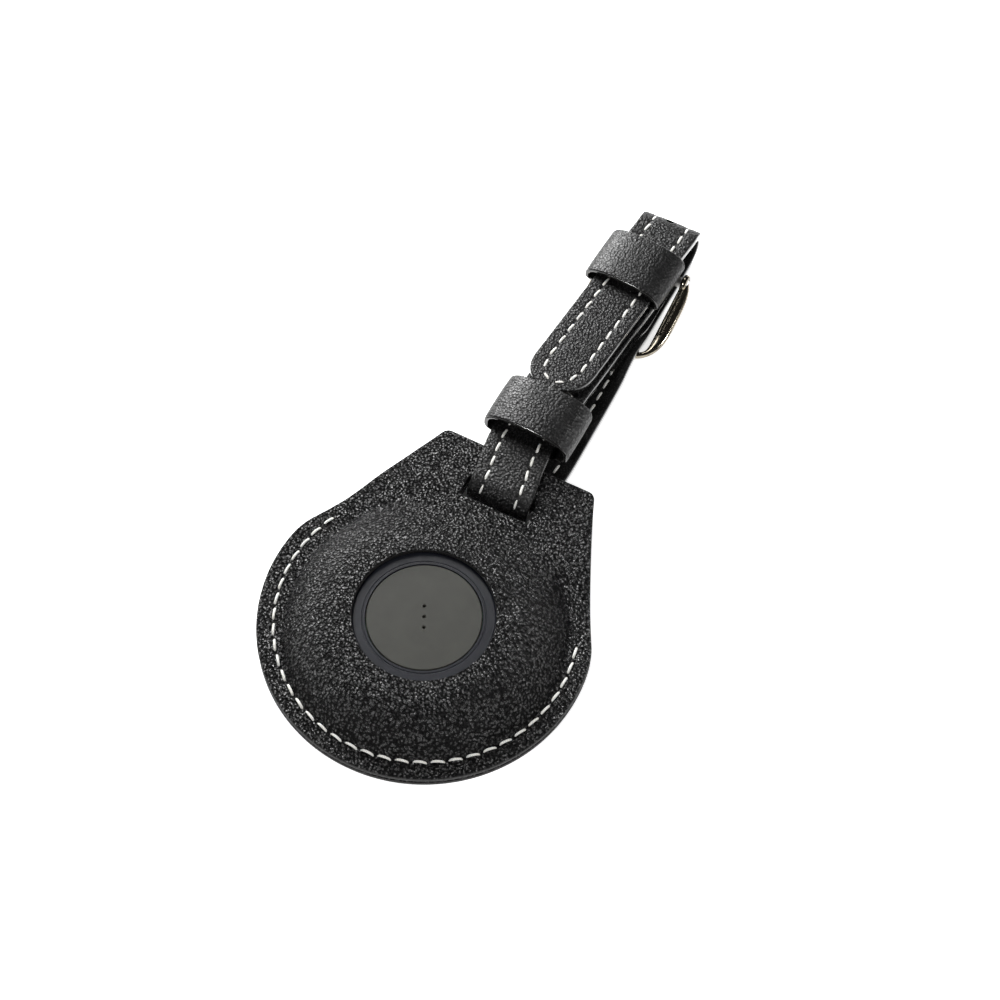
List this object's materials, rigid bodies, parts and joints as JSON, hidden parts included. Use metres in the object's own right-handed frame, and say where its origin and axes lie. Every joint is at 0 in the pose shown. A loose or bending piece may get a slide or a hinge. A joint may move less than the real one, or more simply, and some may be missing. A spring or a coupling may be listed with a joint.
{
  "type": "bluetooth tracker tag",
  "caption": "Round bluetooth tracker with a pressable face, in a sewn black leather pouch on a buckled leather strap loop.",
  "frame": {"origin": "on the flat back of the pouch, under the axis of the round tracker", "axes": "+X right, +Y along the strap away from the pouch, +Z out of the tag's face"},
  "size_m": [0.0688, 0.1482, 0.0129],
  "materials": {
    "black_leather": "semi-gloss pebbled grain",
    "lining_leather": "matte",
    "suede_lining": "brushed",
    "white_thread": "waxed",
    "casing_plastic": "satin",
    "face_plastic": "fine matte",
    "inner_plastic": "moulded",
    "green_board": "solder mask",
    "chip_black": "moulded epoxy",
    "ceramic": "fired ceramic",
    "nickel": "plated",
    "brass_disc": "satin",
    "cell_steel": "stamped stainless",
    "seal_rubber": "silicone",
    "gunmetal": "polished dark nickel"
  },
  "bodies": {
    "pouch": {"pouch_front": "black_leather", "pouch_back": "black_leather", "pouch_lining": "suede_lining", "pouch_thread": "white_thread"},
    "tracker": {"front_casing": "casing_plastic", "rear_casing": "casing_plastic", "mid_frame": "inner_plastic", "circuit_board": "green_board", "bluetooth_chip": "chip_black", "crystal": "nickel", "antenna": "ceramic", "tact_switch": "nickel", "piezo_sounder": "brass_disc", "battery_clip": "nickel", "battery_spring": "nickel", "coin_cell": "cell_steel", "seal_ring": "seal_rubber"},
    "face": {"face_button": "face_plastic"},
    "battery_door": {"battery_cover": "casing_plastic"},
    "strap": {"strap_leather": "black_leather", "strap_lining": "lining_leather", "strap_thread": "white_thread", "fixed_keeper": "black_leather", "buckle_bar": "nickel"},
    "slider": {"sliding_keeper": "black_leather"},
    "buckle": {"buckle_frame": "gunmetal"},
    "prong": {"buckle_prong": "gunmetal"}
  },
  "joints": [
    {"name": "tracker_turn", "type": "hinge", "parent": "pouch", "child": "tracker", "pos_m": [0, 0, 0.0055], "axis": [0, 0, 1], "continuous": true},
    {"name": "face_press", "type": "slide", "parent": "tracker", "child": "face", "axis": [0, 0, -1], "range_m": [0, 0.0002], "stiffness_N_per_m": 2500, "springref_m": -0.0002},
    {"name": "battery_door_turn", "type": "hinge", "parent": "tracker", "child": "battery_door", "pos_m": [0, 0, 0.0024], "axis": [0, 0, 1], "range_deg": [0, 20]},
    {"name": "strap_swing", "type": "hinge", "parent": "pouch", "child": "strap", "pos_m": [0.0001, 0.03535, 0.004], "axis": [1, 0, 0], "range_deg": [0, 4]},
    {"name": "keeper_slide", "type": "slide", "parent": "strap", "child": "slider", "axis": [-0.03, -0.9995, 0], "range_m": [0, 0.002]},
    {"name": "buckle_swing", "type": "hinge", "parent": "strap", "child": "buckle", "pos_m": [0.0034, 0.1027, 0.00485], "axis": [1, 0, 0], "range_deg": [0, 35]},
    {"name": "prong_swing", "type": "hinge", "parent": "strap", "child": "prong", "pos_m": [0.0034, 0.1027, 0.00485], "axis": [1, 0, 0], "range_deg": [0, 3]}
  ]
}
